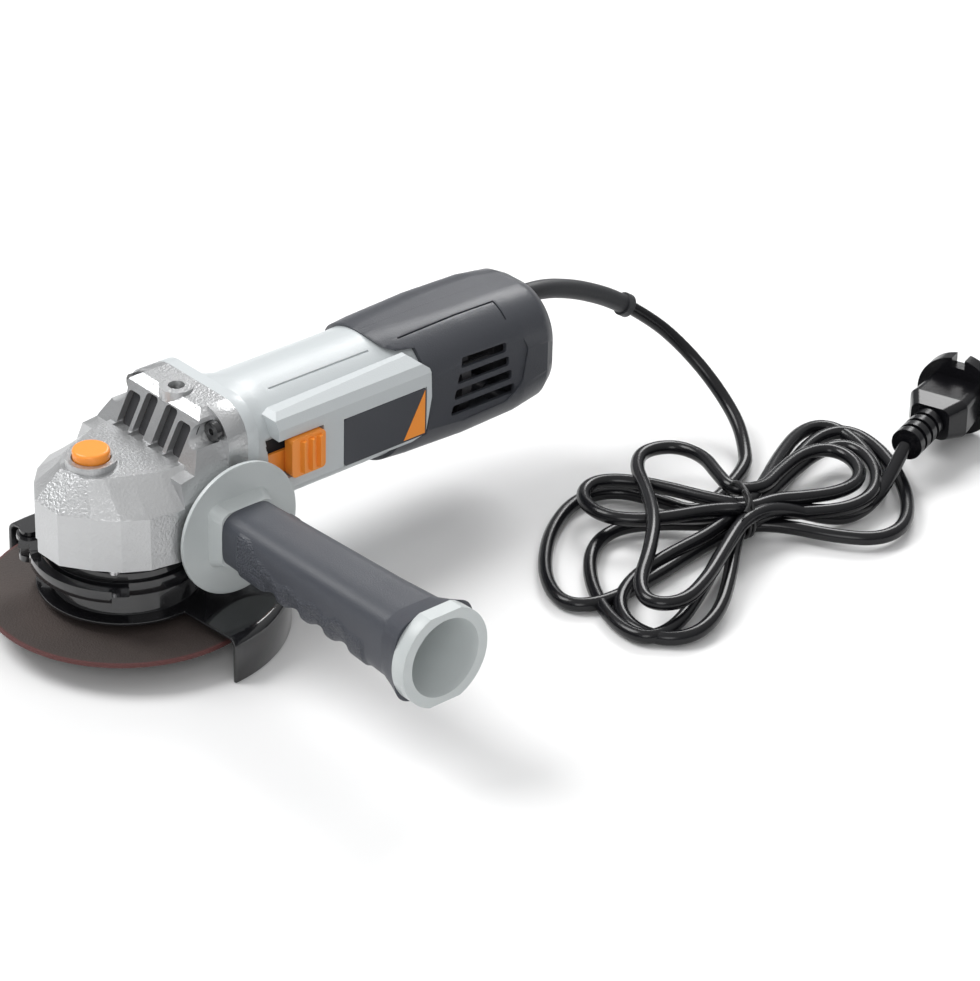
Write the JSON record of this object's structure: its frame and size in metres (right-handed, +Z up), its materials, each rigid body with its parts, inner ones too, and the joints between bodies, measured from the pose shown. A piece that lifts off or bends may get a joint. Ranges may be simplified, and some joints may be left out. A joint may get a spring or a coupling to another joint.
{
  "type": "angle grinder",
  "caption": "Corded angle grinder with cast gear head, side handle, wheel guard, cutting disc, slide switch and a tied hank of mains cable.",
  "frame": {"origin": "free end of the spindle, on the spindle's axis", "axes": "+X towards the gear head's nose, along the motor; +Y towards the side handle; +Z up, the spindle points down"},
  "size_m": [0.4569, 0.2316, 0.098],
  "materials": {
    "cast": "sand-cast, bare",
    "steel": "machined",
    "black_steel": "gloss black",
    "brass": "machined",
    "copper": "enamelled wire",
    "laminate": "laminated",
    "light_plastic": "satin light grey",
    "dark_plastic": "textured dark grey",
    "orange_plastic": "satin orange",
    "inner_plastic": "moulded",
    "grip_rubber": "stippled soft grip",
    "handle_plastic": "satin grey",
    "cord_rubber": "semi-gloss black",
    "abrasive": "abrasive",
    "carbon": "graphite",
    "felt": "felt"
  },
  "bodies": {
    "root": {"gear_housing": "cast", "gear_case_cover": "cast", "gasket": "inner_plastic", "gear_housing_screws": "black_steel", "cover_screws": "steel", "top_bush": "brass", "spindle_bearing_outer": "steel", "spindle_bearing_balls": "steel", "bearing_retainer": "steel", "dust_seal": "felt", "motor_bearings_outer": "steel", "motor_bearing_balls": "steel", "motor_housing": "light_plastic", "stator_core": "laminate", "field_coils": "copper", "fan_baffle": "inner_plastic", "tail_shell_left": "dark_plastic", "tail_shell_right": "dark_plastic", "tail_screws": "steel", "rear_bearing_bridge": "inner_plastic", "brush_holders": "brass", "carbon_brushes": "carbon", "brush_springs": "steel", "power_switch": "inner_plastic", "capacitor": "inner_plastic", "badge_plate": "dark_plastic", "lock_spring": "steel", "handle_core": "handle_plastic", "handle_grip": "grip_rubber", "handle_stud": "steel", "strain_relief_boot": "cord_rubber", "power_cord": "cord_rubber", "cord_hank": "cord_rubber", "plug_body": "cord_rubber", "plug_pins": "steel"},
    "spindle_group": {"spindle": "steel", "crown_gear": "steel", "backing_flange": "steel", "cutting_disc": "abrasive", "clamping_nut": "steel", "gear_circlip": "steel", "spindle_bearing_inner": "steel"},
    "armature": {"armature_shaft": "steel", "pinion": "steel", "pinion_nut": "steel", "armature_core": "laminate", "armature_windings": "copper", "commutator": "copper", "cooling_fan": "inner_plastic", "motor_bearings_inner": "steel"},
    "lock": {"lock_button": "orange_plastic", "lock_pin": "steel"},
    "switch": {"switch_slider": "orange_plastic", "switch_rod": "inner_plastic"},
    "guard": {"guard_shell": "black_steel", "clamp_band": "black_steel", "clamp_screw": "black_steel"},
    "lever": {"guard_lever": "black_steel"}
  },
  "joints": [
    {"name": "spindle_spin", "type": "hinge", "parent": "root", "child": "spindle_group", "pos_m": [0, 0, 0.03], "axis": [0, 0, 1], "continuous": true},
    {"name": "armature_spin", "type": "hinge", "parent": "root", "child": "armature", "pos_m": [-0.1, 0, 0.054], "axis": [1, 0, 0], "continuous": true},
    {"name": "lock_press", "type": "slide", "parent": "root", "child": "lock", "axis": [0, 0, -1], "range_m": [0, 0.004], "stiffness_N_per_m": 600, "deforming": ["lock_spring"]},
    {"name": "switch_slide", "type": "slide", "parent": "root", "child": "switch", "axis": [1, 0, 0], "range_m": [0, 0.008]},
    {"name": "guard_turn", "type": "hinge", "parent": "root", "child": "guard", "pos_m": [0, 0, 0.023], "axis": [0, 0, 1], "range_deg": [-60, 30]},
    {"name": "lever_swing", "type": "hinge", "parent": "guard", "child": "lever", "pos_m": [0.0272, -0.0272, 0.0238], "axis": [0, 0, -1], "range_deg": [0, 95]}
  ],
  "couplings": [
    {"joint": "armature_spin", "follows": "spindle_spin", "ratio": -3.3636}
  ]
}
